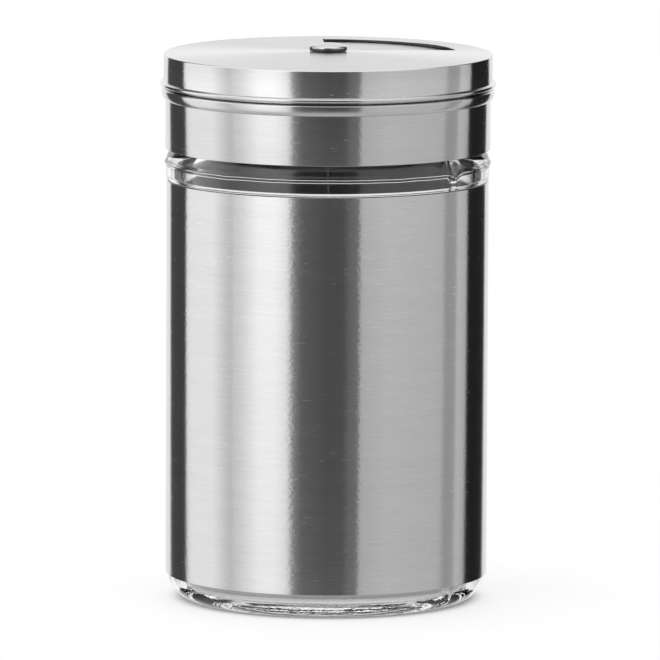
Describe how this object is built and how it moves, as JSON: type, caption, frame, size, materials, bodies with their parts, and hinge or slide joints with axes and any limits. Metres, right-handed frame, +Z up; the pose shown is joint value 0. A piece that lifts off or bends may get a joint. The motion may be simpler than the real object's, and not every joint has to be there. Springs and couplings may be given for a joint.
{
  "type": "spice shaker",
  "caption": "Round glass spice jar in a steel sleeve, with a screw lid whose turning dial opens a window over sieve holes or a pouring hole.",
  "frame": {"origin": "centre of the base, on the surface that the shaker stands on", "axes": "+Z up along the jar's axis, +Y away from the front, +X to the right; at rest the window lies between +X and +Y"},
  "size_m": [0.052, 0.052, 0.0866],
  "materials": {
    "glass": "clear, fire-polished",
    "sleeve_steel": "brushed round the axis",
    "lid_steel": "brushed round the axis",
    "dial_steel": "fine satin, brushed round the axis",
    "rivet_steel": "smooth, bright",
    "washer_steel": "plain rolled",
    "seal_silicone": "matte, translucent white",
    "insert_plastic": "matte black moulding"
  },
  "bodies": {
    "jar": {"glass_jar": "glass", "steel_sleeve": "sleeve_steel"},
    "seal": {"seal_ring": "seal_silicone"},
    "lid": {"lid_shell": "lid_steel", "thread_insert": "insert_plastic", "rivet": "rivet_steel", "backing_washer": "washer_steel", "wave_washer": "washer_steel"},
    "dial": {"dial_cap": "dial_steel"}
  },
  "joints": [
    {"name": "lid_lift", "type": "slide", "parent": "jar", "child": "seal", "axis": [0, 0, 1], "range_m": [0, 0.0131]},
    {"name": "lid_turn", "type": "hinge", "parent": "seal", "child": "lid", "pos_m": [0, 0, 0.0712], "axis": [0, 0, 1], "range_deg": [0, 1170]},
    {"name": "dial_turn", "type": "hinge", "parent": "lid", "child": "dial", "pos_m": [0, 0, 0.0845], "axis": [0, 0, 1], "continuous": true}
  ],
  "couplings": [
    {"joint": "lid_lift", "follows": "lid_turn", "m_per_rad": 0.00063662}
  ]
}
